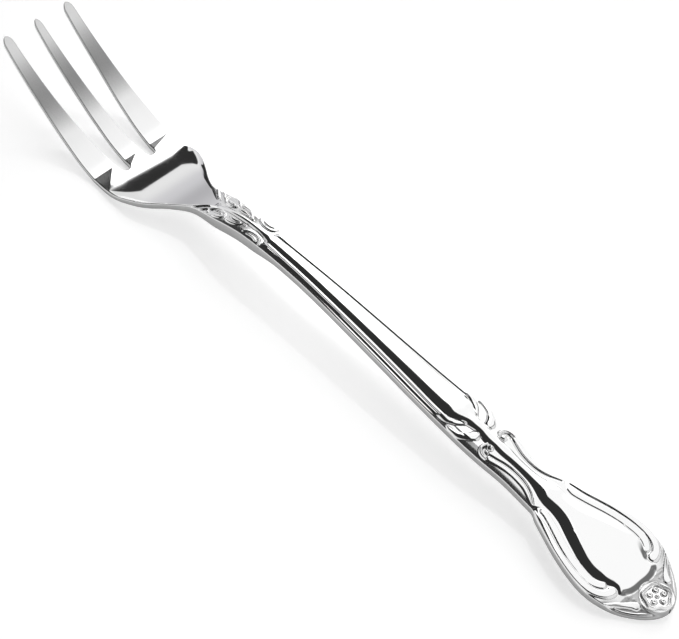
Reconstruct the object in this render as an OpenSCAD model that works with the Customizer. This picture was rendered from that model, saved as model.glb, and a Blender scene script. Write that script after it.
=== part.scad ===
// Three-tined oyster fork, stamped from one blank, drawn as its named zones.
// Y runs from the handle end to the tine tips, X across, Z up from the table.
// The origin is under the middle of the fork, on the table.

/* [Overall] */
// Length from the handle end to the tine tips
overall_l = 140; // [134:0.5:146]
// Height of the underside above the table at the top of the handle's arch
arch_rise = 6.45; // [4:0.05:9]
// Height of the underside above the table at the tine tips
tip_rise = 12.7; // [9:0.1:16]

/* [Blank] */
// Thickness of the blank at the edge of the handle
handle_t = 1.64; // [1.2:0.02:2]
// Thickness of the head
head_t = 1.04; // [0.8:0.02:1.2]
// Thickness of the tine tips
tip_t = 0.82; // [0.7:0.02:1]
// Bevel round the upper edge
top_bevel = 0.14; // [0.06:0.01:0.2]
// Rounding along the lower edge
low_bevel = 0.3; // [0.1:0.01:0.35]
// How far the upper face rolls down to its edge
roll_drop = 0.12; // [0.04:0.01:0.2]
// Width of that roll
roll_w = 0.8; // [0.5:0.05:1]
// Height of the handle's rounded middle above its edges
crown_rise = 0.4; // [0.1:0.05:0.6]

/* [Handle end] */
// Length of the drop-shaped end, up to its notch
end_l = 24; // [21:0.5:27]
// Widest width of the drop-shaped end
end_w = 15.1; // [13:0.1:17]
// Width of the blunt tip of the handle
end_tip_w = 1.4; // [1:0.1:2]
// Height of the smooth middle panel at its widest
panel_rise = 0.95; // [0.4:0.05:1.3]
// Height of the two scrolled bands on each side
band_rise = 0.36; // [0.15:0.01:0.5]
// Half the width of a scrolled band
band_r = 0.62; // [0.5:0.01:0.7]

/* [Rosette] */
// Diameter of the rosette over its lobes
rosette_d = 5; // [4:0.1:5]
// Distance from the handle end to the middle of the rosette
rosette_y = 2.6; // [2.6:0.05:3]
// Clearance between the rosette and the foot of the raised panel
rosette_gap = 0.2; // [0.1:0.05:0.4]
// Height of the rosette above its seat
rosette_rise = 0.42; // [0.25:0.01:0.6]

/* [Waist] */
// Length of the scrolled waist
waist_l = 19; // [17:0.5:21]
// Width of the waist at its leaves
waist_w = 7.8; // [7:0.1:8.6]
// Height of the waist's raised lines
scroll_rise = 0.32; // [0.15:0.01:0.45]
// Half the width of a raised line
scroll_r = 0.3; // [0.24:0.01:0.36]

/* [Shank] */
// Length of the plain shank
shank_l = 41; // [38:0.5:44]
// Width of the shank at its narrow end
shank_w = 4.66; // [4.2:0.02:5.2]
// Height of the shank's middle rib at its widest
rib_rise = 0.6; // [0.3:0.05:0.9]
// Height of the bead along each side of the rib
bead_rise = 0.26; // [0.1:0.01:0.4]
// Half the width of that bead
bead_r = 0.42; // [0.34:0.01:0.5]

/* [Neck] */
// Length of the leafed neck
neck_l = 16; // [14:0.5:18]
// Width of the neck at its leaves
neck_w = 5.8; // [5:0.1:6.4]
// Height of the neck's leaves
leaf_rise = 0.26; // [0.1:0.01:0.4]
// Half the width of a neck leaf
leaf_r = 0.34; // [0.26:0.01:0.4]
// Height of the head's pointed front above the neck
point_rise = 0.24; // [0.1:0.01:0.4]
// Length of the pointed front
point_l = 4.8; // [4:0.1:6]

/* [Head and tines] */
// Length of the head, from the neck to the middle of the slots' round ends
head_l = 14.8; // [13:0.1:17]
// Width of the head
head_w = 16.8; // [15:0.1:18.5]
// How far the head's sides rise above its middle
dish_rise = 0.5; // [0.1:0.05:0.8]
// Radius of the slots' round ends
slot_r = 0.76; // [0.6:0.02:0.9]
// Distance between the middles of the two slots
slot_pitch = 5.24; // [4.8:0.02:5.8]
// Width of the middle tine near its tip
middle_tip_w = 1.5; // [1.1:0.05:1.9]
// Width of an outer tine near its tip
outer_tip_w = 1.8; // [1.3:0.05:2.2]
// Width over the three tines near their tips
spread_w = 14.4; // [13:0.1:15.4]
// Length of the rounded tip of a tine
tip_round = 1; // [0.8:0.05:1.3]

/* [Hidden] */

// Where each zone starts, from the handle end
waist_y = end_l;
shank_y = waist_y + waist_l;
neck_y = shank_y + shank_l;
head_y = neck_y + neck_l;
tine_y = head_y + head_l;
tine_l = overall_l - tine_y;

// Rows of points along each zone
foot_rows = 12;
end_rows = 34;
waist_rows = 38;
shank_rows = 20;
neck_rows = 32;
head_rows = 15;
tine_rows = 18;
// Places of the points across half of the blank, as shares of its half width
column_shares = [0.1, 0.2, 0.3, 0.4, 0.5, 0.58, 0.65, 0.72, 0.78, 0.84, 0.9, 0.95, 1];
// Places of the points across a tine, as shares of its half width
tine_column_shares = [-1, -0.6, 0, 0.6, 1];

// Half width of the blank along each zone: share of the zone's length, share of its half width
end_outline_shares = [[0.04, 0.354], [0.08, 0.507], [0.125, 0.62], [0.17, 0.722], [0.21, 0.8],
                      [0.25, 0.862], [0.33, 0.95], [0.42, 1], [0.5, 0.993], [0.58, 0.955],
                      [0.67, 0.893], [0.75, 0.815], [0.83, 0.72], [0.92, 0.6]];
waist_outline_shares = [[0, 0.955], [0.1, 0.936], [0.21, 0.91], [0.32, 0.898], [0.42, 0.923],
                        [0.53, 0.962], [0.63, 0.987], [0.74, 1], [0.84, 1], [0.95, 0.99]];
shank_outline_shares = [[0.05, 1.63], [0.17, 1.545], [0.29, 1.438], [0.41, 1.33], [0.54, 1.223],
                        [0.66, 1.116], [0.78, 1.03], [0.9, 1]];
neck_outline_shares = [[0.06, 0.83], [0.2, 0.86], [0.38, 0.915], [0.5, 0.965], [0.63, 1],
                       [0.81, 0.965], [0.9, 0.97]];
head_outline_shares = [[0, 0.37], [0.1, 0.46], [0.2, 0.56], [0.34, 0.725], [0.47, 0.868],
                       [0.61, 0.953], [0.75, 0.993], [0.85, 1], [1, 0.985]];

// Underside above the table: share of the length up to the head's lowest place, share of arch_rise
handle_spine_shares = [[0, 0], [0.04, 0], [0.13, 0.235], [0.265, 0.43], [0.4, 0.64], [0.53, 0.82],
                       [0.65, 0.97], [0.71, 1], [0.78, 0.955], [0.84, 0.74], [0.885, 0.52],
                       [0.93, 0.225], [0.973, 0.045], [1, 0]];
// The same from there to the tips: share of the length left, share of tip_rise
tine_spine_shares = [[0.14, 0], [0.41, 0.22], [0.7, 0.565], [1, 1]];
// The head's lowest place, as a share of the head's length
low_share = 0.88;

// Edge of the raised middle: share of the zone's length, share of its half width
// On the handle end the length counts from the panel's foot
end_panel_shares = [[0, 0.02], [0.012, 0.36], [0.03, 0.48], [0.08, 0.54], [0.14, 0.5],
                    [0.2, 0.58], [0.28, 0.66], [0.35, 0.68], [0.45, 0.64], [0.57, 0.57],
                    [0.67, 0.475], [0.78, 0.385], [0.87, 0.31], [0.95, 0.3]];
// Where the panel is at its widest, as a share of its length and of the half width
panel_full_shares = [0.35, 0.68];
waist_panel_shares = [[0, 0.6], [0.06, 0.52], [0.13, 0.4], [0.21, 0.3], [0.32, 0.28], [0.42, 0.33],
                      [0.5, 0.33], [0.58, 0.22], [0.66, 0.24], [0.74, 0.19], [0.84, 0.25],
                      [0.91, 0.42], [0.97, 0.62]];
shank_panel_shares = [[0, 1.14], [0.05, 1.15], [0.17, 1.02], [0.29, 0.92], [0.41, 0.8],
                      [0.54, 0.71], [0.66, 0.62], [0.78, 0.55], [0.9, 0.51], [0.97, 0.51]];
neck_panel_shares = [[0.04, 0.36], [0.12, 0.26], [0.38, 0.21], [0.6, 0.15], [0.75, 0.11]];

// Raised lines: share of the zone's length, share of its half width, share of the line's half width
end_outer_band_shares = [[0.975, 0.52, 0.5], [0.92, 0.55, 0.6], [0.83, 0.64, 0.75],
                         [0.75, 0.745, 0.9], [0.67, 0.83, 0.95], [0.58, 0.89, 1], [0.5, 0.925, 1],
                         [0.42, 0.92, 1], [0.375, 0.88, 1], [0.335, 0.8, 1.05], [0.31, 0.7, 1.15],
                         [0.306, 0.6, 1.3]];
end_inner_band_shares = [[0.945, 0.37, 0.75], [0.9, 0.405, 0.7], [0.83, 0.47, 0.8],
                         [0.75, 0.575, 0.85], [0.67, 0.66, 0.9], [0.58, 0.72, 0.95],
                         [0.5, 0.76, 1], [0.44, 0.75, 1], [0.4, 0.69, 1], [0.373, 0.63, 0.9]];
end_leaf_shares = [[0.272, 0.87, 0.5], [0.246, 0.77, 0.7], [0.217, 0.65, 0.85],
                   [0.187, 0.545, 1], [0.152, 0.46, 1.15]];
waist_outer_line_shares = [[0.61, 0.62, 1.2], [0.6, 0.72, 1.1], [0.575, 0.77, 1], [0.53, 0.76, 1],
                           [0.47, 0.7, 1], [0.42, 0.64, 1], [0.37, 0.59, 1], [0.32, 0.55, 1],
                           [0.26, 0.55, 1], [0.21, 0.58, 1], [0.16, 0.64, 1], [0.1, 0.76, 1],
                           [0.06, 0.87, 1], [0.03, 0.93, 1]];
waist_inner_line_shares = [[0.53, 0.56, 1.1], [0.47, 0.51, 1], [0.42, 0.45, 1], [0.37, 0.4, 1],
                           [0.32, 0.36, 1], [0.26, 0.35, 1], [0.21, 0.37, 1], [0.16, 0.44, 1],
                           [0.1, 0.54, 1], [0.05, 0.68, 1], [0.02, 0.82, 1]];
waist_bud_shares = [[0.585, 0.4, 2.6], [0.575, 0.41, 2.6]];
waist_leaf_shares = [[0.95, 0.85, 0.8], [0.9, 0.83, 1], [0.84, 0.76, 1.1], [0.8, 0.62, 1.4],
                     [0.765, 0.47, 1.9], [0.74, 0.37, 2.3]];
waist_tail_shares = [[1, 0.75, 1.4], [0.96, 0.64, 1.3], [0.92, 0.51, 1.1], [0.88, 0.38, 0.9]];
neck_scroll_shares = [[0.02, 0.76, 1], [0.05, 0.52, 1], [0.12, 0.4, 1], [0.2, 0.43, 1],
                      [0.27, 0.6, 1], [0.3, 0.74, 0.8]];
neck_bud_shares = [[0.1, 0.68, 0.9], [0.15, 0.68, 1.2]];
neck_leaf_shares = [[[0.31, 0.35, 0.8], [0.38, 0.45, 1.1], [0.44, 0.57, 1.1], [0.5, 0.66, 0.9]],
                    [[0.52, 0.4, 0.8], [0.59, 0.53, 1.1], [0.66, 0.67, 1], [0.71, 0.8, 0.7]],
                    [[0.71, 0.4, 0.8], [0.76, 0.55, 1], [0.81, 0.7, 0.9], [0.86, 0.84, 0.6]]];

// Half width of the pointed front's rounded edge, as a share of leaf_r
point_edge_share = 1.2;
// Where the head's sides start to rise, as a share of its half width
dish_start_share = 0.35;
// Lobes round the rosette, and the points round and across it
rosette_lobes = 5;
rosette_sides = 60;
// Rings of the rosette: share of its radius, share of its rise
rosette_ring_shares = [[1, 0], [0.96, 0.7], [0.88, 1], [0.78, 0.7], [0.72, 0.35], [0.6, 0.6],
                       [0.45, 0.75], [0.3, 0.4], [0.22, 0.5], [0.14, 0.95]];
// How far the rosette's edge draws in between two lobes, as a share of its radius
lobe_share = 0.07;
// How far the petals fall between two lobes, as a share of the rosette's rise
petal_share = 0.3;
// Width of the rosette's level seat, as a share of its diameter
seat_share = 1.1;
// Overrun of a cut past the face that it opens
overrun = head_t;
// Facets round a slot's end
slot_sides = 48;

// The curve through a list of places and values, at one place
function at(list, x, i = 0) = i >= len(list) - 2 || x < list[i + 1][0] ? i : at(list, x, i + 1);
function lean(list, i) =
    let (a = max(i - 1, 0), b = min(i + 1, len(list) - 1))
    (list[b][1] - list[a][1]) / (list[b][0] - list[a][0]);
function along(list, x) =
    let (i = at(list, x),
         run = list[i + 1][0] - list[i][0],
         t = min(max((x - list[i][0]) / run, 0), 1),
         t2 = t * t,
         t3 = t2 * t)
    list[i][1] * (2 * t3 - 3 * t2 + 1) + lean(list, i) * run * (t3 - 2 * t2 + t)
    + list[i + 1][1] * (3 * t2 - 2 * t3) + lean(list, i + 1) * run * (t3 - t2);

// A share list in real sizes
function real(shares, y, l, w) = [for (p = shares) [y + p[0] * l, p[1] * w]];
function line(shares, y, l, w, r) = [for (p = shares) [y + p[0] * l, p[1] * w, p[2] * r]];

// Foot of the raised panel, just past the rosette
panel_foot_y = rosette_y + rosette_d / 2 + rosette_gap;
panel_l = end_l - panel_foot_y;

// Half width of the blank, kept as its square so that the tip comes out round
outline = [for (p = concat([[0, end_tip_w / 2]],
                           real(end_outline_shares, 0, end_l, end_w / 2),
                           real(waist_outline_shares, waist_y, waist_l, waist_w / 2),
                           real(shank_outline_shares, shank_y, shank_l, shank_w / 2),
                           real(neck_outline_shares, neck_y, neck_l, neck_w / 2),
                           real(head_outline_shares, head_y, head_l, head_w / 2)))
           [p[0], p[1] * p[1]]];
function half_w(y) = sqrt(along(outline, y));

// Underside and thickness
low_y = head_y + low_share * head_l;
spine = concat(real(handle_spine_shares, 0, low_y, arch_rise),
               real(tine_spine_shares, low_y, overall_l - low_y, tip_rise));
thickness = [[0, handle_t], [neck_y, handle_t], [head_y, (handle_t + head_t) / 2],
             [low_y, head_t], [overall_l, tip_t]];
function under_z(y) = max(along(spine, y), 0);
function thick(y) = along(thickness, y);
crown_top = [[0, 0], [panel_foot_y, 0], [waist_y, crown_rise], [neck_y, crown_rise], [head_y, 0],
             [overall_l, 0]];
function crown(y) = max(along(crown_top, y), 0);

// Raised middle
panel = concat(real(end_panel_shares, panel_foot_y, panel_l, end_w / 2),
               real(waist_panel_shares, waist_y, waist_l, waist_w / 2),
               real(shank_panel_shares, shank_y, shank_l, shank_w / 2),
               real(neck_panel_shares, neck_y, neck_l, neck_w / 2));
panel_end = panel[len(panel) - 1][0];
panel_top = [[0, panel_rise], [panel_foot_y + panel_l * panel_full_shares[0], panel_rise],
             [waist_y, rib_rise], [shank_y, rib_rise], [neck_y, rib_rise], [panel_end, 0]];
panel_full = end_w / 2 * panel_full_shares[1];
rib_full = shank_w / 2 * shank_panel_shares[1][1];
function panel_w(y) = y < panel[0][0] || y > panel_end ? 0 : along(panel, y);

// Raised lines
outer_band = line(end_outer_band_shares, 0, end_l, end_w / 2, band_r);
inner_band = line(end_inner_band_shares, 0, end_l, end_w / 2, band_r);
end_leaf = line(end_leaf_shares, 0, end_l, end_w / 2, band_r);
bead = [for (p = [for (i = [0 : 8]) i / 8])
        let (y = shank_y + p * shank_l * 0.97,
             in = along(panel, y), out = half_w(y))
        [y, (in + out) / 2 - (out - in) * 0.1, bead_r * min(1, (out - in) / (3 * bead_r))]];
function waist_line(shares) = line(shares, waist_y, waist_l, waist_w / 2, scroll_r);
function neck_line(shares) = line(shares, neck_y, neck_l, neck_w / 2, leaf_r);
lines = concat([[outer_band, band_rise], [inner_band, band_rise], [end_leaf, band_rise],
                [bead, bead_rise]],
               [for (s = [waist_outer_line_shares, waist_inner_line_shares, waist_bud_shares,
                          waist_leaf_shares, waist_tail_shares]) [waist_line(s), scroll_rise]],
               [for (s = concat([neck_scroll_shares, neck_bud_shares], neck_leaf_shares))
                [neck_line(s), leaf_rise]]);

// Height that one line adds at a place: a round bead, highest on the line
function reach(p, a, b) =
    let (d = [b[0] - a[0], b[1] - a[1]],
         t = min(max(((p[0] - a[0]) * d[0] + (p[1] - a[1]) * d[1]) / (d * d), 0), 1),
         q = norm([p[0] - a[0] - t * d[0], p[1] - a[1] - t * d[1]]) / (a[2] + (b[2] - a[2]) * t))
    q >= 1 ? 0 : sqrt(1 - q * q);
// The pieces of the raised lines: two ends and the line's rise
stretches = [for (ln = lines) for (i = [0 : len(ln[0]) - 2])
             let (a = ln[0][i], b = ln[0][i + 1], r = max(a[2], b[2]))
             [a, b, ln[1], min(a[0], b[0]) - r, max(a[0], b[0]) + r]];

// What holds for a whole row at y: half width, underside, thickness, raised middle, stretches,
// half width of the head's front, and crown
function row(y) =
    let (from = head_y - point_l, w = half_w(y), inner = panel_w(y),
         full = y < waist_y ? panel_full : rib_full)
    [y, w, under_z(y), thick(y), inner, along(panel_top, y) * min(1, inner / full),
     y > head_y ? [] : [for (s = stretches) if (s[3] < y && s[4] > y) s],
     y <= from || y >= head_y + point_l ? 0 : (y - from) / point_l * half_w(head_y),
     crown(y)];

function panel_z(row, u) = u >= row[4] ? 0 : row[5] * (1 - pow(u / row[4], 2.4));
function lines_z(row, u) =
    len(row[6]) == 0 ? 0 : max([for (s = row[6]) s[2] * reach([row[0], u], s[0], s[1])]);

// The head's pointed front lies on the neck, and its sides rise
function point_z(row, u) =
    let (t = min(max((row[7] - u) / (leaf_r * point_edge_share), 0), 1),
         fade = min(max((row[0] - head_y) / point_l, 0), 1))
    point_rise * (3 * t * t - 2 * t * t * t) * (1 - fade);
function dish_z(row, u) =
    let (t = min(max((u / (head_w / 2) - dish_start_share) / (1 - dish_start_share), 0), 1),
         grow = min(max((row[0] - head_y) / head_l * 2, 0), 1),
         ease = min(max((overall_l - row[0]) / tine_l, 0), 1))
    dish_rise * t * t * grow * ease;

// The upper face rolls down towards its edge
function roll_z(row, u) = -roll_drop * pow(max(1 - (row[1] - u) / roll_w, 0), 2);

// Level seat under the rosette
seat_z = under_z(rosette_y) + thick(rosette_y);
function on_seat(row, u) = row[0] < panel_foot_y && u < seat_share * rosette_d / 2;

// Upper face of the blank; u is the distance from the middle line
function top_z(row, u) =
    on_seat(row, u) ? seat_z
    : row[2] + row[3] + max(panel_z(row, u), lines_z(row, u)) + row[8] * (1 - pow(u / row[1], 2))
      + point_z(row, u) + dish_z(row, u) + (row[0] > tine_y ? 0 : roll_z(row, u));

// One ring of points round the blank at y, in the fork's own frame
all_columns = concat([for (i = [len(column_shares) - 1 : -1 : 0]) -column_shares[i]], [0],
                     column_shares);
function ring(y) =
    let (here = row(y), w = here[1], z = here[2], t = here[3],
         cut = min(low_bevel, w / 3), edge = min(top_bevel, w / 4),
         side = top_z(here, w) - edge, half = len(column_shares),
         up = [for (c = concat([0], column_shares)) top_z(here, c * (w - edge))])
    concat([for (i = [0 : 2 * half]) [all_columns[i] * (w - edge), y, up[abs(i - half)]]],
           [[w, y, side], [w, y, z + cut], [w - cut, y, z], [cut - w, y, z], [-w, y, z + cut],
            [-w, y, side]]);

// Walls of a skin over m rings of n points
function skin_walls(m, n) =
    [for (r = [0 : m - 2], i = [0 : n - 1])
     let (a = r * n + i, b = r * n + (i + 1) % n)
     each [[a, a + n, b], [b, a + n, b + n]]];

// Points inside a flat end, halfway up under each of the top points of its ring
function end_points(ring, columns) =
    let (z = (ring[columns][2] + ring[columns + 1][2]) / 2)
    [for (i = [0 : columns - 1]) [ring[i][0], ring[i][1], z]];
// Faces of a flat end: at is the ring's first point, mid the first point inside it
function end_faces(at, mid, columns) =
    let (half = floor(columns / 2), right = at + columns, low_right = right + 2,
         low_left = low_right + 1, left = low_left + 2, last = mid + columns - 1)
    concat([for (i = [0 : columns - 2])
            each [[at + i, mid + i + 1, mid + i], [at + i, at + i + 1, mid + i + 1]]],
           [for (i = [0 : columns - 2])
            [mid + i, mid + i + 1, i < half ? low_left : low_right]],
           [[mid + half, low_right, low_left], [at + columns - 1, right, last],
            [right, right + 1, last], [right + 1, low_right, last],
            [low_left, left - 1, mid], [left - 1, left, mid], [left, at, mid]]);
function flipped(faces) = [for (f = faces) [f[0], f[2], f[1]]];

// A closed skin over rings that each start with the top points, left to right
module blank_skin(rings, columns) {
    n = len(rings[0]);
    m = len(rings);
    polyhedron(points = concat([for (r = rings) each r], end_points(rings[0], columns),
                               end_points(rings[m - 1], columns)),
               faces = concat(skin_walls(m, n), end_faces(0, m * n, columns),
                              flipped(end_faces((m - 1) * n, m * n + columns, columns))));
}

// A closed skin over round rings, each end a fan from its middle
module round_skin(rings, low_middle, high_middle) {
    n = len(rings[0]);
    m = len(rings);
    fan = [for (i = [0 : n - 1]) [i, (i + 1) % n, m * n]];
    cap = [for (i = [0 : n - 1]) [(m - 1) * n + (i + 1) % n, (m - 1) * n + i, m * n + 1]];
    polyhedron(points = concat([for (r = rings) each r], [low_middle, high_middle]),
               faces = concat(skin_walls(m, n), fan, cap));
}

// A zone of the blank between two places, moved to the shared origin
module zone(from, to, rows) {
    translate([0, -overall_l / 2, 0])
        blank_skin([for (i = [0 : rows]) ring(from + (to - from) * i / rows)],
                   len(all_columns));
}

// Handle end, with rows drawn together towards its blunt tip and one at the panel's foot
module handle_end() {
    color("silver")
        translate([0, -overall_l / 2, 0])
            blank_skin([for (y = concat([for (i = [0 : foot_rows - 1])
                                         panel_foot_y * pow(i / foot_rows, 1.35)],
                                        [for (i = [0 : end_rows])
                                         panel_foot_y + panel_l * i / end_rows])) ring(y)],
                       len(all_columns));
}

module waist() {
    color("gainsboro") zone(waist_y, shank_y, waist_rows);
}

module shank() {
    color("silver") zone(shank_y, neck_y, shank_rows);
}

module neck() {
    color("gainsboro") zone(neck_y, head_y, neck_rows);
}

// Head, with the round ends of the two slots cut through it
module head() {
    color("lightsteelblue")
        difference() {
            zone(head_y, tine_y, head_rows);
            for (side = [-1, 1])
                translate([side * slot_pitch / 2, tine_y - overall_l / 2, -overrun])
                    cylinder(r = slot_r, h = tip_rise, $fn = slot_sides);
        }
}

// Inner and outer edges of the tines: place along, distance from the middle line
middle_edge = [[tine_y, slot_pitch / 2 - slot_r],
               [overall_l - tip_round, middle_tip_w / 2]];
inner_edge = [[tine_y, slot_pitch / 2 + slot_r],
              [overall_l - tip_round, spread_w / 2 - outer_tip_w]];
outer_edge = [[tine_y, half_w(tine_y)], [overall_l - tip_round, spread_w / 2]];

// How much of its width a tine has left at y, over its rounded tip
function tip_left(y) =
    let (t = max((y - overall_l + tip_round) / tip_round, 0))
    sqrt(max(1 - 0.8 * t * t, 0));

// One tine between two edges; the middle line's sign comes from the edges
module tine(low_edge, high_edge, low_sign) {
    translate([0, -overall_l / 2, 0])
        blank_skin([for (i = [0 : tine_rows])
              let (y = tine_y + tine_l * (1 - pow(1 - i / tine_rows, 1.5)),
                   a = low_sign * along(low_edge, min(y, overall_l - tip_round)),
                   b = along(high_edge, min(y, overall_l - tip_round)),
                   mid = (a + b) / 2, half = (b - a) / 2 * tip_left(y),
                   here = row(y), z = here[2],
                   cut = min(low_bevel, half / 3), edge = min(top_bevel, half / 4),
                   inner = mid - half, outer = mid + half)
              concat([for (c = tine_column_shares)
                      let (u = mid + c * (half - edge)) [u, y, top_z(here, abs(u))]],
                     [[outer, y, top_z(here, abs(outer)) - edge], [outer, y, z + cut],
                      [outer - cut, y, z], [inner + cut, y, z], [inner, y, z + cut],
                      [inner, y, top_z(here, abs(inner)) - edge]])],
                   len(tine_column_shares));
}

module left_tine() {
    color("lightsteelblue") mirror([1, 0, 0]) tine(inner_edge, outer_edge, 1);
}

module middle_tine() {
    color("lightsteelblue") tine(middle_edge, middle_edge, -1);
}

module right_tine() {
    color("lightsteelblue") tine(inner_edge, outer_edge, 1);
}

// Five-petalled rosette on its level seat at the tip of the handle
module rosette() {
    n = rosette_sides;
    r = rosette_d / 2;
    pull = [for (i = [0 : n - 1]) (1 - cos(360 * rosette_lobes * i / n)) / 2];
    function spot(i, ring_r, rise) =
        [ring_r * r * (1 - lobe_share * pull[i] * ring_r) * sin(360 * i / n),
         rosette_y - ring_r * r * (1 - lobe_share * pull[i] * ring_r) * cos(360 * i / n),
         seat_z + rosette_rise * rise * (1 - petal_share * pull[i] * (rise < 1 ? 1 : 0))];
    rings = [for (s = rosette_ring_shares) [for (i = [0 : n - 1]) spot(i, s[0], s[1])]];
    color("silver")
        translate([0, -overall_l / 2, 0])
            round_skin(rings, [0, rosette_y, seat_z], [0, rosette_y, seat_z + rosette_rise]);
}

left_tine();
middle_tine();
right_tine();
head();
neck();
shank();
waist();
handle_end();
rosette();
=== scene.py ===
import math
import bpy
import numpy as np
from mathutils import Matrix, Vector


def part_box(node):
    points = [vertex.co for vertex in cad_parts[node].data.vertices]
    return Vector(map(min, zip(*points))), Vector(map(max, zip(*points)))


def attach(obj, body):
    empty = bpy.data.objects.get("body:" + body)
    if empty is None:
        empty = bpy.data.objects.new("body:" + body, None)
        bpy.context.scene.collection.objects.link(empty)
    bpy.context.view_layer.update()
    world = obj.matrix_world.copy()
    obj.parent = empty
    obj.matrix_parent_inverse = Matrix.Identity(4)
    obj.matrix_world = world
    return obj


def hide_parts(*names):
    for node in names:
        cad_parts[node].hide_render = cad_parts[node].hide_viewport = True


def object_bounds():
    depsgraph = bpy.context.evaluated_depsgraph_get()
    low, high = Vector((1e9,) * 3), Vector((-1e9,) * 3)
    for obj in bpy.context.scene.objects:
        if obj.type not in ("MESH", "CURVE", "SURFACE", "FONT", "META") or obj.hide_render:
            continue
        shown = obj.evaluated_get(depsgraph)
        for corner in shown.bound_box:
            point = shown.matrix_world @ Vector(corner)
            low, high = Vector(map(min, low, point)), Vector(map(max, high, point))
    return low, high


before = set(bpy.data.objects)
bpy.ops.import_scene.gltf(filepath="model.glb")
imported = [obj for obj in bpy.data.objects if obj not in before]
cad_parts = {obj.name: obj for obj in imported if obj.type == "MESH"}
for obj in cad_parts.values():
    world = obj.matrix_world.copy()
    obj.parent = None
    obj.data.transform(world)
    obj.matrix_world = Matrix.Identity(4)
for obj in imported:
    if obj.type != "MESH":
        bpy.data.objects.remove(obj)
cad_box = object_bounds()

# The shape is worked out in millimetres from the handle end; the meshes are in metres
MM = 0.001

# Zones along the fork, read from the solids
LOW_Y = cad_box[0][1] / MM
OVERALL_L = cad_box[1][1] / MM - LOW_Y


def start_of(node):
    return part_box(node)[0][1] / MM - LOW_Y


WAIST_Y = start_of("waist")
SHANK_Y = start_of("shank")
NECK_Y = start_of("neck")
HEAD_Y = start_of("head")
TINE_Y = start_of("middle_tine")

# Thickness of the blank in the handle, the neck, the head and at the tips
HANDLE_T = 1.64
NECK_T = 1.8
HEAD_T = 1.04
TIP_T = 0.82
# Extra depth under the neck: depth, and where it begins and ends, each place with its length
NECK_SAG = 0.55
SAG_SPAN = (80, 6, 92, 6)
# Rounding of the upper edge in the handle and the head, and the length of the change
TOP_ROUND = 0.16
HEAD_ROUND = 0.2
TOP_ROUND_L = 14
# Rounding of the lower edge in the handle and the tines, and the length of the change
LOW_ROUND = 0.42
TINE_LOW_ROUND = 0.28
LOW_ROUND_L = 12
# Soft roll of the upper face along the edges: drop, width, and where it fades in the neck
ROLL_DROP = 0.1
ROLL_W = 0.9
ROLL_PAST = 8
ROLL_FADE = 8

# Side profile: place, height of the underside above the table
SPINE = [
    (0, 0), (5, 0.03), (15, 1.38), (30, 2.8), (45, 4.2), (60, 5.56), (72, 6.36), (80, 6.5),
    (88, 6.15), (92, 5.5), (95, 4.68), (98, 3.7), (100, 2.98), (103, 1.84), (106, 0.86),
    (109, 0.235), (110.5, 0.08), (112, 0.02), (114, 0.005), (116, 0.02)]
# The tines bend up from a crease across their roots
CREASE_Y = 116
TINE_SPINE = [
    (116, 0.02), (118, 0.46), (120, 1.06), (124, 2.72), (128, 4.78), (132, 7.12), (136, 9.74),
    (140, 12.7)]

# Half width of the blank: place, half width
OUTLINE = [
    (0, 0), (1, 2.7), (2, 3.85), (3, 4.7), (4, 5.42), (5, 6.03), (6, 6.5), (7, 6.88), (8, 7.18),
    (9, 7.4), (10, 7.52), (11, 7.55), (12, 7.5), (14, 7.2), (16, 6.74), (18, 6.15), (20, 5.44),
    (21.5, 4.9), (22.8, 4.4), (23.5, 4.02), (24, 3.75), (24.8, 3.7), (26, 3.64), (28, 3.55),
    (30, 3.5), (32, 3.58), (34, 3.74), (36, 3.85), (38, 3.9), (40, 3.9), (43, 3.84), (45, 3.78),
    (50, 3.6), (55, 3.35), (60, 3.1), (65, 2.85), (70, 2.6), (75, 2.4), (80, 2.33), (83, 2.36),
    (85, 2.42), (88, 2.52), (90, 2.65), (92, 2.8), (94, 2.9), (96, 2.84), (98, 2.82), (99.5, 3.0),
    (101, 3.55), (103, 4.7), (105, 6.05), (107, 7.25), (109, 7.98), (111, 8.3), (112.5, 8.38),
    (114.8, 8.27)]

# Slots and tines
SLOT_U = 2.62
SLOT_R = 0.76
MIDDLE_TIP_HALF = 0.66
INNER_TIP_U = 5.4
OUTER_TIP_U = 7.15
# Round tips: length, share of the width that goes, and the power of the curve
TIP_ROUND_L = 1.3
TIP_SHARE = 0.985
TIP_POWER = 2.4

# Raised middle: place, half width of its edge
PANEL = [
    (5.1, 0), (5.1, 1.5), (5.3, 2.7), (5.9, 3.75), (6.5, 4.1), (7.1, 3.75), (7.8, 3.85), (8.6, 4.3),
    (9.5, 4.75), (10.5, 5.05), (11.5, 5.15), (12.5, 5.05), (14, 4.72), (16, 4.06), (18, 3.28),
    (20, 2.5), (21.5, 2.2), (22.6, 2.12), (23.6, 2.12), (24.6, 1.9), (25.6, 1.5), (27, 1.05),
    (28.5, 0.85), (30, 0.8), (31.5, 0.84), (33, 1.0), (34, 1.0), (34.8, 0.96), (35.6, 1.0),
    (36.4, 1.0), (37.2, 0.9), (38, 0.76), (39, 0.9), (40, 1.0), (41, 1.4), (42, 1.9), (43, 2.25),
    (44, 2.4), (46, 2.33), (50, 2.1), (58, 1.75), (64, 1.53), (69, 1.36), (76, 1.1), (83, 0.93),
    (84.5, 0.6), (85.6, 0.38), (88, 0.34), (90, 0.33), (93, 0.36), (95.5, 0.4)]
# How many of its points run round its foot
FOOT_POINTS = 5
# Flank of the panel: width, height and power of its curve
PANEL_FLANK = 1.6
PANEL_RISE = 0.58
PANEL_POWER = 1.4
# Crown of the panel: height, half width, soft start from the side and from the foot
PANEL_CROWN = 0.16
CROWN_HALF = 5
CROWN_SIDE = 2.4
CROWN_L = 6
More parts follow.
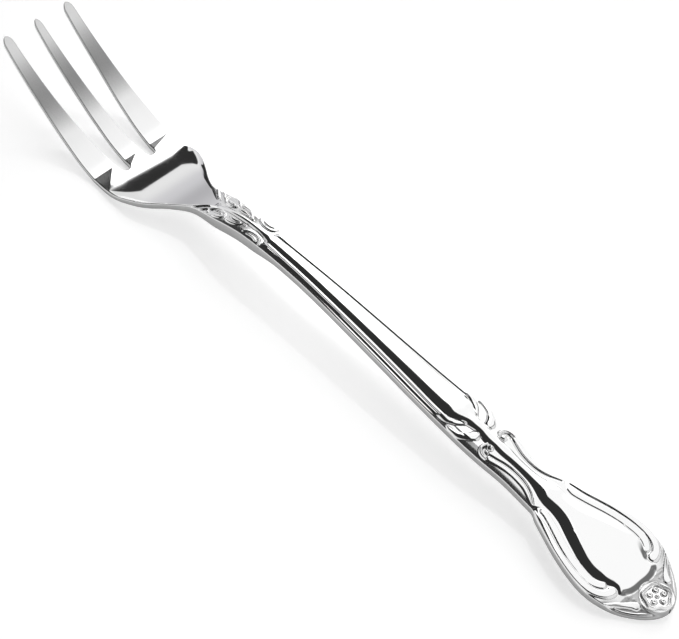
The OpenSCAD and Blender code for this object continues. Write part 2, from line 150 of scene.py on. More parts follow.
# The panel's foot rises quickly to its first height, then slowly to the panel's
FOOT_RISE = 0.27
FOOT_L = 1.0
FOOT_LAST = 10.5
# Up to here the flank is measured straight across, and then along the shortest way
STRAIGHT_Y = 9
STRAIGHT_FADE = 2
# Farthest that the panel's edge is looked for
PANEL_REACH = 6.0
# Grid of the panel's height: half width, spacing, length of the smoothing, margin past the panel,
# and its last place in steps before its end
FIELD_HALF = 7
FIELD_STEP = 0.05
FIELD_BLUR = 0.12
FIELD_PAST = 1
FIELD_LAST = 1.001
# The panel turns into the rib: first place, length, and the least half width of the rib
RIB_START = 19
RIB_FADE = 10
RIB_LEAST = 0.2
# Place, height of the rib
RIB = [
    (0, 0.74), (19, 0.74), (24, 0.66), (27, 0.52), (30, 0.44), (34, 0.42), (38, 0.4), (41, 0.48),
    (44, 0.68), (58, 0.5), (76, 0.32), (83, 0.24), (85.6, 0.13), (95, 0.1), (97, 0.1)]
RIB_POWER = 2.4

# Raised lines: place, distance from the middle line, half width of the line
OUTER_BAND = [
    (23.5, 3.82, 0.22), (22.6, 4.12, 0.36), (21, 4.6, 0.5), (19, 5.32, 0.56), (17, 6.0, 0.6),
    (15, 6.5, 0.64), (13, 6.84, 0.66), (11, 6.93, 0.68), (9.6, 6.74, 0.68), (8.5, 6.25, 0.68),
    (7.7, 5.5, 0.72), (7.4, 4.75, 0.78), (7.38, 4.45, 0.8)]
INNER_BAND = [
    (22.75, 2.95, 0.42), (22.0, 2.98, 0.5), (20.5, 3.42, 0.54), (19, 3.95, 0.58), (17, 4.68, 0.6),
    (15, 5.25, 0.62), (13, 5.62, 0.62), (11.5, 5.76, 0.62), (10.2, 5.6, 0.6), (9.3, 5.15, 0.56),
    (8.9, 4.78, 0.54)]
END_LEAF = [
    (6.75, 6.75, 0.2), (6.2, 6.15, 0.34), (5.55, 5.3, 0.42), (4.8, 4.45, 0.5), (4.1, 3.75, 0.62),
    (3.55, 3.38, 0.72)]
END_RIM = [
    (5.4, 5.9, 0.16), (4.2, 5.15, 0.2), (3.0, 4.25, 0.22), (2.0, 3.3, 0.22), (1.3, 2.6, 0.16)]
GROOVE = [
    (35.5, 1.75, 0.18), (35.6, 2.1, 0.26), (35.3, 2.42, 0.3), (34.7, 2.5, 0.32), (34, 2.3, 0.32),
    (33, 2.0, 0.3), (32, 1.7, 0.3), (31, 1.5, 0.3), (30, 1.42, 0.3), (29, 1.42, 0.3),
    (28, 1.52, 0.3), (27, 1.78, 0.28), (26, 2.2, 0.26), (25.2, 2.7, 0.22), (24.6, 3.1, 0.16)]
GROOVE_DEPTH = 0.25
GROOVE_POWER = 1.3
# The raised core under the rib: place, half width, height
CORE = [
    (0, 2.3, 0), (22.6, 2.3, 0), (24.2, 3.5, 0.1), (25, 3.5, 0.12), (26, 3.05, 0.12),
    (27, 2.7, 0.12), (28, 2.5, 0.12), (30, 2.42, 0.12), (32, 2.75, 0.12), (33, 3.0, 0.12),
    (34, 3.2, 0.14), (34.5, 2.6, 0.15), (34.9, 1.6, 0.16), (35.5, 1.35, 0.16), (36.5, 1.35, 0.18),
    (38, 1.05, 0.22), (39, 1.15, 0.26), (41, 1.6, 0.28), (42.3, 2.2, 0.3), (44, 2.7, 0.3),
    (83, 1.1, 0.3), (84.5, 0.85, 0.3), (86, 0.6, 0.3), (88, 0.52, 0.28), (92, 0.5, 0.2),
    (95, 0.5, 0.06), (97, 0.5, 0)]
CORE_WALL = 0.28
BUD = [(35.1, 1.42, 0.52), (34.95, 1.45, 0.52)]
HOOK = [(34.3, 3.15, 0.2), (35.0, 3.12, 0.26), (35.6, 2.85, 0.3), (36.0, 2.3, 0.3),
        (36.05, 1.7, 0.28), (35.85, 1.3, 0.22)]
LEAF = [(42.0, 3.5, 0.14), (41.4, 3.58, 0.24), (40.6, 3.5, 0.36), (39.7, 3.3, 0.5),
        (38.9, 2.75, 0.6), (38.35, 2.2, 0.72), (38.02, 1.68, 0.84)]
TAIL = [(43.8, 3.0, 0.4), (42.8, 2.8, 0.48), (42.0, 2.45, 0.47), (41.3, 2.05, 0.42),
        (40.7, 1.55, 0.34), (40.35, 1.28, 0.24)]
# The border along the shank, outward from the rib: first place on the panel's edge, heights of its
# base, its thread and its step, and the widths of the slopes between them
BORDER_Y = 43
BASE_RISE = 0.22
THREAD_RISE = 0.18
THREAD_IN = 0.32
THREAD_TOP = 0.04
THREAD_OUT = 0.28
STEP_RISE = 0.17
STEP_IN = 0.68
STEP_WIDE = 0.32

# Scroll, bud and leaves of the neck
NECK_SCROLL = [
    (84.45, 2.15, 0.16), (84.7, 1.65, 0.22), (85.2, 1.27, 0.26), (86, 1.14, 0.28),
    (86.9, 1.22, 0.28), (87.6, 1.5, 0.25), (88.05, 1.95, 0.18)]
NECK_BUD = [(85.3, 2.0, 0.16), (86.0, 1.78, 0.2), (86.8, 1.8, 0.2), (87.2, 1.95, 0.16)]
LEAF_RISE = 0.26
LEAF_POWER = 0.9
NECK_LEAVES = [
    [(88.65, 0.85, 0.14), (89.1, 0.95, 0.2), (89.5, 1.35, 0.24), (90.1, 1.78, 0.26),
     (90.9, 2.0, 0.26), (91.6, 2.02, 0.22), (92.1, 1.9, 0.14)],
    [(89.9, 0.95, 0.2), (90.5, 1.1, 0.32), (91.2, 1.12, 0.34), (91.8, 1.05, 0.2)],
    [(92.75, 1.55, 0.14), (92.95, 1.15, 0.19), (93.6, 0.88, 0.22), (94.5, 0.9, 0.22),
     (95.3, 1.25, 0.22), (95.75, 1.85, 0.2), (95.7, 2.4, 0.14)],
    [(93.7, 1.45, 0.2), (94.3, 1.5, 0.28), (94.9, 1.6, 0.24)],
    [(92.7, 1.75, 0.14), (93.05, 2.2, 0.2), (93.7, 2.5, 0.18), (94.4, 2.6, 0.12)],
    [(96.45, 1.05, 0.14), (96.9, 1.25, 0.24), (97.5, 1.7, 0.28), (98.2, 2.3, 0.24),
     (98.8, 2.7, 0.14)],
    [(96.2, 1.8, 0.12), (96.7, 2.3, 0.18), (97.3, 2.6, 0.14)]]

# Bands with a flat top: their points, height, width of the wall on each side
RIBBONS = [(OUTER_BAND, 0.26, 0.26), (INNER_BAND, 0.15, 0.12), (END_LEAF, 0.3, 0.26)]
# Rounded lines: their points, height, power of their section
CORDS = [(END_RIM, 0.12, 1.0), (HOOK, 0.3, 0.8), (BUD, 0.44, 0.5), (LEAF, 0.3, 0.5),
         (TAIL, 0.3, 0.5), (NECK_SCROLL, 0.24, 1.1), (NECK_BUD, 0.2, 0.9)]

# Ground of the struck zones, level and then falling to the edges: place, height of the level part
GROUND = [
    (0, 0), (6, 0.02), (12, 0.1), (20, 0.2), (25, 0.26), (30, 0.3), (34, 0.38), (38, 0.42),
    (41, 0.34), (44.5, 0.12), (48, 0.03), (80, 0.03), (84, 0.04), (88, 0.07), (92, 0.06), (95, 0),
    (98, 0), (140, 0)]
# Share of the half width over which it is level
GROUND_LEVEL = 0.64
# At the end of the handle it sinks to the edges: depth, share of the half width that stays, where
# the sinking begins to go and over what length
SINK = 0.72
SINK_LEVEL = 0.5
SINK_Y = 4
SINK_FADE = 4
# How much of the stepped border there is along the fork
BORDER = [
    (0, 0), (38, 0), (42, 0), (44.2, 1), (46, 1), (50, 1), (80, 1), (83.4, 1), (83.9, 0), (84.4, 0),
    (88, 0), (140, 0)]

# The head is scooped out of the blank: edge of its pointed front
POINT = [(94.5, 0.34), (95.3, 0.4), (96.2, 0.55), (97, 0.8), (98, 1.33), (99, 1.94), (100, 2.6),
         (101, 3.25), (104, 5.2)]
# Where the ornament gives way to the scoop: first place, where it goes, and over what length
SCOOP_Y = 96
ORNAMENT_END = 98.5
ORNAMENT_FADE = 2
# It is worked out a little past the start of the head
ORNAMENT_PAST = 1
# It fades out at the blank's edge: how far it would reach past the edge, width of the fade
ORNAMENT_EDGE = 0.032
ORNAMENT_EDGE_W = 0.16
# Outside the pointed front the ornament begins with a soft wall: gap and width
POINT_GAP = 0.08
POINT_WALL = 0.4
# Place, width of the rim's slope, height of the rim
RIM = [
    (0, 0.5, 0), (90, 0.5, 0), (93, 0.5, 0.04), (95, 0.5, 0.12), (97, 0.5, 0.2), (99, 0.5, 0.22),
    (100.5, 0.5, 0.21), (102, 0.56, 0.27), (103, 0.7, 0.36), (105, 1.05, 0.44), (106.5, 1.4, 0.5),
    (108, 1.6, 0.4), (109.3, 1.6, 0.16), (110.6, 1.6, 0.01), (111.2, 1.6, 0), (140, 1.6, 0)]
# The rim's crest keeps this far from the edge, and its slope turns from straight to curved here
RIM_EDGE = 0.12
RIM_CURVE_Y = 103
RIM_CURVE_L = 2.5
# Share of the rim that the underside follows, and the length over which it begins
RIM_BELOW = 0.8
RIM_BELOW_L = 3
# The scoop's lower end runs round to the rim: first side, width, reach and limit of the bend
BEND_IN = 4.4
BEND_W = 3.3
BEND_L = 1.7
BEND_LIMIT = 1.2
# Where the bend begins and ends at the right and at the left, each place with its length
BEND_RIGHT = (104.5, 5, 110, 2.3)
BEND_LEFT = (104.5, 5, 112.5, 3)
# Soft fall of the face at the right edge of the scoop: drop, width, and where it begins and ends
FALL_DROP = 0.08
FALL_W = 0.6
FALL_SPAN = (108.5, 2, 111, 3)
# Hollows under the crease at the tines' roots: the two sides between which each lies, its first
# place, its side there and at the crease, and its slope
HOLLOWS = [
    (-9, -2.7, 112.3, -8.1, -4.1, 0.034), (-2.62, 2.62, 114.3, -1.8, 1.0, 0.024),
    (2.62, 9, 114.6, 3.4, 8.2, 0.014)]
HOLLOW_SOFT = 0.3
HOLLOW_FADE = 8

# Fine flutes of the shell on each side of the flower: centre, count and height
SHELL_Y = 5.2
SHELL_U = 5.6
SHELL_FLUTES = 26
SHELL_RISE = 0.05
# Where they are: beyond this distance from the flower, below this place, outside this side
SHELL_FROM_FLOWER = 2.95
SHELL_LAST_Y = 5.4
SHELL_FIRST_U = 2.6
# Their plain heart and the plain margin along the blank's edge, with the margin's soft start
SHELL_HEART = 0.8
SHELL_MARGIN = 0.45
SHELL_MARGIN_W = 0.3
# They show only where the ornament is lower than this
SHELL_GROUND = 0.02

# The flower: place, radius, height, count of petals, and how far its outline draws in between them
ROSETTE_Y = 2.62
ROSETTE_R = 2.5
ROSETTE_RISE = 0.6
ROSETTE_LOBES = 5
LOBE_DEPTH = 0.13
# Its two raised rings, as shares of its radius and its height: place, half width, height
FLOWER_RINGS = [(0.9, 0.07, 0.95), (0.74, 0.05, 0.6)]
# Its petals: place, radius, height, and the depth and spread of the dimple in each
PETAL_AT = 0.45
PETAL_R = 0.22
PETAL_RISE = 0.8
DIMPLE = 0.3
DIMPLE_SPREAD = 0.004
# Its round centre, the ground between them, and the steep side of the whole flower
CENTRE_R = 0.14
CENTRE_RISE = 0.9
FLOWER_GROUND = 0.2
FLOWER_SIDE = 0.04
FLOWER_SIDE_LEAST = 0.3
# Points round it and rings from its side to its centre; the first is there twice, which keeps the
# shading of its underside apart from its side
FLOWER_POINTS = 160
FLOWER_SHARES = np.concatenate([[1.0, 1.0, 0.985], np.linspace(0.97, 0.02, 44)])
# Level seat that the flower stands on: radius, width of its soft edge
SEAT_R = 2.55
SEAT_EDGE = 0.2

# Finish, from 0 for polished to 2 for dull, which also darkens the steel's tone: end and rest of
# the handle, plain shank, recess round the flower, tines, hollows at their roots, side walls,
# underside;
# in the recess and on the side walls the darker tone is painted shade as well as a rougher finish
END_SATIN = 0.7
HANDLE_SATIN = 0.55
SHANK_SATIN = 0.055
RECESS_SATIN_AND_SHADE = 1.7
TINE_SATIN = 0.5
HOLLOW_SATIN = 0.32
WALL_SATIN_AND_SHADE = 2
UNDER_SATIN = 0.5
# How far past the start of the shank its finish begins
SHANK_SATIN_PAST = 1
# Least finish in the end of the handle, where its satin ends and over what length it goes
END_LEAST = 0.04
END_SATIN_Y = 18.2
END_SATIN_L = 14
# How much of the satin the ornament loses, and how high it stands where it begins to lose it
POLISH = 0.88
POLISH_START = 0.03
POLISH_RISE = 0.08
CORE_RISE = 0.1
# The recess round the flower, whose tone is darkened with painted shade: last place and highest
# ground
RECESS_LAST_Y = 5.6
RECESS_GROUND = 0.06
# Soft edges of the satin: beside the panel, and beside the scoop's pointed front, from this place
PANEL_SATIN_W = 0.12
PANEL_SATIN_GAP = -0.048
FRONT_Y = 94
FRONT_SATIN_W = 0.2
FRONT_SATIN_GAP = 0.1
# Length of the soft start of the tines' satin, drop at which the hollows have all of theirs, and
# how far past the crease it goes
TINE_SATIN_L = 0.5
HOLLOW_SATIN_DROP = 0.01
HOLLOW_SATIN_PAST = 0.2
# Rise of the normal below which a face counts as a wall, over what range, and as the underside
WALL_TILT = 0.35
WALL_TILT_RANGE = 0.3
UNDER_TILT = -0.6

# Rows along the handle's tip, and where the even rows take over
FIRST_ROWS = [0.004, 0.015, 0.03, 0.05, 0.075, 0.1, 0.13, 0.17, 0.22, 0.28, 0.35, 0.43]
FIRST_L = 0.5
# Gaps between rows: in the ornament, on plain stretches, below the slots and in the tines' roots
FINE_GAP = 0.1
PLAIN_GAP = 0.3
APEX_GAP = 0.04
ROOT_GAP = 0.12
# How far below the slots the rows are close, and how far past the crease they stay fine
SLOT_NEAR = 0.6
CREASE_L = 1
# Turns of the slots' ends, of the tines' tips and of the rounded edges
SLOT_TURNS = np.radians(np.arange(0, 90, 9))
TIP_TURNS = np.radians(np.arange(0, 91, 5))
EDGE_TURNS = np.radians(np.arange(0, 91, 18))
# Most of a strip's width that the places of one rounded edge take
EDGE_SHARE = 0.2
# Even places across the upper face of the outer strips and the middle one, and the underside
SIDE_COUNT = 50
MIDDLE_COUNT = 42
LOW_COUNT = 8

# Reach of a smoothing on each side and of a curve's table past its ends, counted in its lengths
BELL_REACH = 3
TABLE_PAST = 4
# Spacing of the points of a curve's table and of a raised line
TABLE_STEP = 0.02
LINE_STEP = 0.04
# Margin round a raised line in which places are tested, and how many are tested at a time
LINE_MARGIN = 0.1
BATCH = 4000
# A short step for slopes, numbers that keep a division from failing, the least square of the half
# width, a distance that is far off, and gaps below which places count as one row or are joined
PROBE = 0.01
TINY = 1e-9
LEAST_FACE = 1e-10
LEAST_SQ = 1e-4
FAR = 1e3
SAME = 1e-6
JOIN = 1e-4


def catmull(points, x):
    """Values of the smooth curve through the points, at the places x."""
    p = np.array(points, float)
    px, py = p[:, 0], p[:, 1]
    lean = np.empty_like(px)
    lean[1:-1] = (py[2:] - py[:-2]) / (px[2:] - px[:-2])
    lean[0] = (py[1] - py[0]) / (px[1] - px[0])
    lean[-1] = (py[-1] - py[-2]) / (px[-1] - px[-2])
    x = np.clip(x, px[0], px[-1])
    i = np.clip(np.searchsorted(px, x, side="right") - 1, 0, len(px) - 2)
    run = px[i + 1] - px[i]
    t = (x - px[i]) / run
    return (py[i] * (2 * t**3 - 3 * t**2 + 1) + lean[i] * run * (t**3 - 2 * t**2 + t)
            + py[i + 1] * (3 * t**2 - 2 * t**3) + lean[i + 1] * run * (t**3 - t**2))


def bell(blur, step):
    """The weights of a smoothing, and how many places it reaches on each side."""
    reach = int(BELL_REACH * blur / step)
    weights = np.exp(-0.5 * (np.arange(-reach, reach + 1) * step / blur) ** 2)
    return weights / weights.sum(), reach


class Table:
    """A curve sampled finely and smoothed, so that reflections on it run without kinks."""

    def __init__(self, points, blur, lo=0.0, hi=None):
        hi = OVERALL_L if hi is None else hi
        pad = TABLE_PAST * blur
        step = TABLE_STEP
        self.x = np.arange(lo - pad, hi + pad + step, step)
        first, last = points[0][0], points[-1][0]
        low = (catmull(points, first + step) - catmull(points, first)) / step
        high = (catmull(points, last) - catmull(points, last - step)) / step
        y = catmull(points, self.x)
        y = y + np.where(self.x < first, (self.x - first) * low, 0)
        y = y + np.where(self.x > last, (self.x - last) * high, 0)
        weights, reach = bell(blur, step)
        before = y[0] + (y[1] - y[0]) * np.arange(-reach, 0)
        after = y[-1] + (y[-1] - y[-2]) * np.arange(1, reach + 1)
        padded = np.concatenate([before, y, after])
        self.y = np.convolve(padded, weights, mode="valid")

    def __call__(self, x):
        return np.interp(x, self.x, self.y)


# The curves along the fork, each with the length over which it is smoothed
body_spine = Table(SPINE, 0.9)
tine_spine = Table(TINE_SPINE, 0.5, lo=CREASE_Y)


def spine(y):
    return np.where(y < CREASE_Y, body_spine(y), tine_spine(y) - tine_spine(CREASE_Y)
                    + body_spine(CREASE_Y))


border = Table(BORDER, 0.3)
core_half = Table([(y, w) for y, w, rise in CORE], 0.15)
core_rise = Table([(y, rise) for y, w, rise in CORE], 0.4)
rim_wide = Table([(y, wide) for y, wide, rise in RIM], 0.5)
rim_rise = Table([(y, rise) for y, wide, rise in RIM], 0.5)
point_edge = Table(POINT, 0.25)
outline_sq = Table([(y, w * w) for y, w in OUTLINE], 0.25, hi=TINE_Y)
ground = Table(GROUND, 1.5)
thickness = Table([(0, HANDLE_T), (78, HANDLE_T), (85, NECK_T), (91, NECK_T),
                   (96, HANDLE_T), (HEAD_Y, (HANDLE_T + HEAD_T) / 2),
                   (112, HEAD_T), (OVERALL_L, TIP_T)], 2.0)


def tine_edge(*sides):
    """An edge of a tine, by its sides from the root to the tip."""
    return Table(list(zip((TINE_Y, 120, 125, 130, 135, OVERALL_L), sides)), 0.8, lo=TINE_Y)


inner_edge = tine_edge(SLOT_U + SLOT_R, 3.86, 4.3, 4.76, 5.1, INNER_TIP_U)
outer_edge = tine_edge(8.27, 8.02, 7.78, 7.58, 7.38, OUTER_TIP_U)
middle_edge = tine_edge(SLOT_U - SLOT_R, 1.6, 1.36, 1.16, 0.94, MIDDLE_TIP_HALF)
SLOT_APEX = TINE_Y - SLOT_R


def smooth(t):
    t = np.clip(t, 0, 1)
    return t * t * (3 - 2 * t)


def between(y, start, start_l, end, end_l):
    """Rises softly from 0 to 1 at the start and falls back at the end."""
    return smooth((y - start) / start_l) * (1 - smooth((y - end) / end_l))


def half_w(y):
    return np.sqrt(np.maximum(outline_sq(np.minimum(y, TINE_Y)), LEAST_SQ))


def tip_left(y):
    """How much of its width a tine has left over its rounded tip."""
    t = np.clip((y - OVERALL_L + TIP_ROUND_L) / TIP_ROUND_L, 0, 1)
    return np.sqrt(np.maximum(1 - TIP_SHARE * t**TIP_POWER, 0))


def strip_edges(y):
    """Edges of the left, middle and right strips of the plan at each y: a list of (a, b)."""
    w = half_w(y)
    line = SLOT_U * np.where(y < SLOT_APEX, w / half_w(np.array([SLOT_APEX]))[0], 1)
    inside = np.clip((y - SLOT_APEX) / SLOT_R, 0, 1)
    open_ = np.where(y < TINE_Y, SLOT_R * np.sqrt(np.maximum(1 - (1 - inside) ** 2, 0)), 0)
    past = y >= TINE_Y
    mid = np.where(past, middle_edge(y), line - open_)
    inner = np.where(past, inner_edge(y), line + open_)
    outer = np.where(past, outer_edge(y), w)
    left = tip_left(y)
    mid = mid * left
    middle, half = (inner + outer) / 2, (outer - inner) / 2 * left
    inner, outer = middle - half, middle + half
    return [(-outer, -inner), (-mid, mid), (inner, outer)]


def edge_distance(y, u):
    """Distance of a place in plan from the blank's own edge."""
    a = np.abs(u)
    plan_y = np.minimum(y, TINE_Y)
    slope = (outline_sq(plan_y + PROBE) - outline_sq(plan_y - PROBE)) / (2 * PROBE)
    d = (outline_sq(plan_y) - u * u) / np.sqrt(slope**2 + 4 * u * u + TINY)
    slot = np.hypot(a - SLOT_U, y - TINE_Y) - SLOT_R
    d = np.where(y < TINE_Y, np.minimum(d, slot), FAR)
    outer, inner = outer_edge(y), inner_edge(y)
    strips = [(0 * y, middle_edge(y)), ((inner + outer) / 2, (outer - inner) / 2)]
    for mid, half in strips:
        off = a - mid
        reach2 = (half * tip_left(y)) ** 2
        slope = ((half * tip_left(y + PROBE)) ** 2 - reach2) / PROBE
        f = reach2 - off**2
        part = f / np.sqrt(slope**2 + 4 * off**2 + TINY)
        d = np.where((y >= TINE_Y) & (f > -SAME), np.minimum(d, part), d)
    return np.maximum(d, 0)


def line_samples(points):
    """A raised line as closely spaced places with their half widths."""
    p = np.array(points, float)
    gap = np.hypot(np.diff(p[:, 0]), np.diff(p[:, 1]))
    s = np.concatenate([[0], np.cumsum(gap)])
    t = np.linspace(0, s[-1], max(int(s[-1] / LINE_STEP), 2))
    cols = [catmull(list(zip(s, p[:, k])), t) for k in range(3)]
    return np.stack(cols, -1)


def nearest(samples, y, u, reach):
    """Distance to the nearest sample and its index, for the places near the line."""
    far = np.full(y.shape, FAR)
    which = np.zeros(y.shape, int)
    near = ((y > samples[:, 0].min() - reach) & (y < samples[:, 0].max() + reach)
            & (u > samples[:, 1].min() - reach) & (u < samples[:, 1].max() + reach))
    idx = np.flatnonzero(near)
    for part in np.array_split(idx, max(len(idx) // BATCH, 1)):
        d2 = ((y[part, None] - samples[None, :, 0]) ** 2
              + (u[part, None] - samples[None, :, 1]) ** 2)
        k = d2.argmin(1)
        far[part] = np.sqrt(d2[np.arange(len(part)), k])
        which[part] = k
    return far, which


def across_line(points, y, u):
    """Distance from the middle of a raised line, and the line's half width there."""
    s = line_samples(points)
    d, k = nearest(s, y, u, s[:, 2].max() + LINE_MARGIN)
    return d, s[k, 2]


def line_height(points, rise, power, y, u):
    d, half = across_line(points, y, u)
    return rise * np.maximum(1 - (d / half) ** 2, 0) ** power


def ribbon_height(points, rise, wall, y, u):
    d, half = across_line(points, y, u)
    return rise * smooth((half - d) / wall)


def panel_samples(points):
    return line_samples([(y, w, 1) for y, w in points])


def panel_edge(y):
    """Half width of the raised middle."""
    s = panel_samples(PANEL)
    order = np.argsort(s[:, 0])
    return np.interp(y, s[order, 0], s[order, 1])


def panel_exact(y, u):
    """The raised middle: a panel on the handle end and a rib along the rest of the handle."""
    first_y = PANEL[0][0]
    edge = panel_edge(y)
    inside = (u < edge) & (y > first_y) & (y < PANEL[-1][0])
    d_side, _ = nearest(panel_samples(PANEL[FOOT_POINTS - 1:]), y, u, PANEL_REACH)
    d_foot, _ = nearest(panel_samples(PANEL[:FOOT_POINTS]), y, u, PANEL_REACH)
    d_side = d_side + (edge - u - d_side) * (1 - smooth((y - STRAIGHT_Y) / STRAIGHT_FADE))
    d_side = np.where(inside, d_side, 0)
    d_foot = np.where(inside, d_foot, 0)
    flank = PANEL_RISE * (1 - (1 - np.clip(d_side / PANEL_FLANK, 0, 1)) ** PANEL_POWER)
    slow_start = first_y + FOOT_L
    slow = np.clip((y - slow_start) / (FOOT_LAST - slow_start), 0, 1)
    foot = FOOT_RISE * np.clip(d_foot / FOOT_L, 0, 1) + (PANEL_RISE - FOOT_RISE) * slow
    arch = np.clip(1 - (u / CROWN_HALF) ** 2, 0, 1)
    arch = arch * smooth(d_side / CROWN_SIDE) * smooth((y - first_y) / CROWN_L)
    panel = np.minimum(flank, foot) + PANEL_CROWN * arch
    deep = np.clip(d_side / np.maximum(edge, RIB_LEAST), 0, 1)
    rib = catmull(RIB, y) * (1 - (1 - deep) ** RIB_POWER)
    blend = smooth((y - RIB_START) / RIB_FADE)
    return panel * (1 - blend) + rib * blend


class Field:
    """A height worked out on an even grid and smoothed a little, to take out creases."""

    def __init__(self, exact, hi_y, hi_u, step, blur):
        self.step = step
        self.y = np.arange(-FIELD_PAST, hi_y + FIELD_PAST, step)
        self.u = np.arange(0, hi_u + FIELD_PAST, step)
        grid_y, grid_u = np.meshgrid(self.y, self.u, indexing="ij")
        h = exact(grid_y.ravel(), grid_u.ravel()).reshape(grid_y.shape)
        w, reach = bell(blur, step)
        h = np.concatenate([h[:, reach:0:-1], h, np.repeat(h[:, -1:], reach, 1)], 1)
        h = np.stack([np.convolve(row, w, mode="valid") for row in h])
        h = np.concatenate([np.repeat(h[:1], reach, 0), h, np.repeat(h[-1:], reach, 0)])
        self.h = np.stack([np.convolve(col, w, mode="valid") for col in h.T], 1)

    def __call__(self, y, u):
        fy = np.clip((y - self.y[0]) / self.step, 0, len(self.y) - FIELD_LAST)
        fu = np.clip(u / self.step, 0, len(self.u) - FIELD_LAST)
        i, j = fy.astype(int), fu.astype(int)
        fy, fu = fy - i, fu - j
        h = self.h
        return ((h[i, j] * (1 - fy) + h[i + 1, j] * fy) * (1 - fu)
                + (h[i, j + 1] * (1 - fy) + h[i + 1, j + 1] * fy) * fu)


panel_height = Field(panel_exact, PANEL[-1][0], FIELD_HALF, FIELD_STEP, FIELD_BLUR)
border_edge = np.array([point for point in PANEL if point[0] > BORDER_Y])
seat_z = float(spine(np.array([ROSETTE_Y]))[0]) + HANDLE_T


def border_height(y, u):
    """The stepped border along the shank, down from the rib to the edges."""
    off = u - np.interp(y, border_edge[:, 0], border_edge[:, 1])
    thread = THREAD_RISE * smooth(off / THREAD_IN)
    fall = BASE_RISE + THREAD_RISE - STEP_RISE
    fall = fall * smooth((off - THREAD_IN - THREAD_TOP) / THREAD_OUT)
    step = STEP_RISE * smooth((u - half_w(y) + STEP_IN) / STEP_WIDE)
    return BASE_RISE + thread - fall - step


def core_height(y, u):
    return core_rise(y) * smooth((core_half(y) - u) / CORE_WALL)


def relief_height(y, u):
    """Everything that stands on the ground of the upper face; u is taken without its sign."""
    h = panel_height(y, u)
    for points, rise, wall in RIBBONS:
        h = np.maximum(h, ribbon_height(points, rise, wall, y, u))
    for points, rise, power in CORDS:
        h = np.maximum(h, line_height(points, rise, power, y, u))
    for points in NECK_LEAVES:
        h = np.maximum(h, line_height(points, LEAF_RISE, LEAF_POWER, y, u))
    share = border(y)
    h = h + core_height(y, u) * (1 - share) + border_height(y, u) * share
    return h - line_height(GROOVE, GROOVE_DEPTH, GROOVE_POWER, y, u)


def shell_height(y, u):
    """Fine flutes of the shell on each side of the flower."""
    angle = np.arctan2(y - SHELL_Y, u - SHELL_U)
    heart = smooth(np.hypot(y - SHELL_Y, u - SHELL_U) / SHELL_HEART)
    beyond = np.hypot(y - ROSETTE_Y, u) > SHELL_FROM_FLOWER
    here = beyond & (y < SHELL_LAST_Y) & (u > SHELL_FIRST_U)
    margin = smooth((edge_distance(y, u) - SHELL_MARGIN) / SHELL_MARGIN_W)
    wave = (1 + np.cos(angle * SHELL_FLUTES)) / 2
    return np.where(here, SHELL_RISE * wave * heart * margin, 0)


def ground_height(y, u):
    part = u / half_w(y)
    level = 1 - np.clip((part - GROUND_LEVEL) / (1 - GROUND_LEVEL), 0, 1)
    sunk = np.clip((part - SINK_LEVEL) / (1 - SINK_LEVEL), 0, 1)
    return ground(y) * level - SINK * sunk * (1 - smooth((y - SINK_Y) / SINK_FADE))


def bent(y, u):
    """The place whose height a point of the scoop takes, so that its end is curved."""
    reach = BEND_L * np.clip((np.abs(u) - BEND_IN) / BEND_W, 0, BEND_LIMIT) ** 2
    right = between(y, *BEND_RIGHT)
    left = between(y, *BEND_LEFT)
    return y - reach * np.where(u > 0, right, left)


def right_fall(y, u):
    """The soft fall of the face at the right edge of the scoop."""
    along = between(y, *FALL_SPAN)
    return FALL_DROP * np.clip(1 - (half_w(y) - u) / FALL_W, 0, 1) ** 2 * along


def rim_height(y, u):
    """The rim that is left standing round the scooped head."""
    wide = rim_wide(y)
    crest = np.minimum(point_edge(y) + wide, half_w(y) - RIM_EDGE)
    power = 1 + smooth((y - RIM_CURVE_Y) / RIM_CURVE_L)
    return rim_rise(y) * np.clip((u - crest + wide) / wide, 0, 1) ** power


def hollow_drop(y, u):
    """The small hollow at the left of each tine's root, under the crease."""
    drop = np.zeros_like(y)
    for lo, hi, first, low_side, high_side, slope in HOLLOWS:
        t = (y - first) / (CREASE_Y - first)
        x = np.maximum(low_side + (high_side - low_side) * t - u, 0)
        x = np.where(x < HOLLOW_SOFT, x * x / (2 * HOLLOW_SOFT), x - HOLLOW_SOFT / 2)
        here = slope * x * (y > first) * (u > lo) * (u < hi)
        drop = np.maximum(drop, here)
    return drop * (1 - smooth((y - CREASE_Y) / HOLLOW_FADE))


def rounding(d, r):
    """How far a quarter-round edge falls below its face, at a distance from the edge."""
    x = np.clip(r - d, 0, r)
    return r - np.sqrt(np.maximum(r * r - x * x, 0))


def top_round(y):
    return TOP_ROUND + (HEAD_ROUND - TOP_ROUND) * smooth((y - NECK_Y) / TOP_ROUND_L)


def low_round(y):
    return LOW_ROUND + (TINE_LOW_ROUND - LOW_ROUND) * smooth((y - HEAD_Y) / LOW_ROUND_L)


def ornament_height(y, a, d):
    """The struck ornament and the shell, which end at the scoop and at the blank's edge."""
    h = np.zeros_like(y)
    struck = y < HEAD_Y + ORNAMENT_PAST
    h[struck] = relief_height(y[struck], a[struck])
    h[struck] += np.where(h[struck] < SHELL_GROUND, shell_height(y[struck], a[struck]), 0)
    outside = smooth((a - point_edge(y) - POINT_GAP) / POINT_WALL)
    gone = smooth((y - ORNAMENT_END) / ORNAMENT_FADE)
    h = h * np.where(y > SCOOP_Y, outside * (1 - gone), 1)
    return h * smooth((d + ORNAMENT_EDGE) / ORNAMENT_EDGE_W)


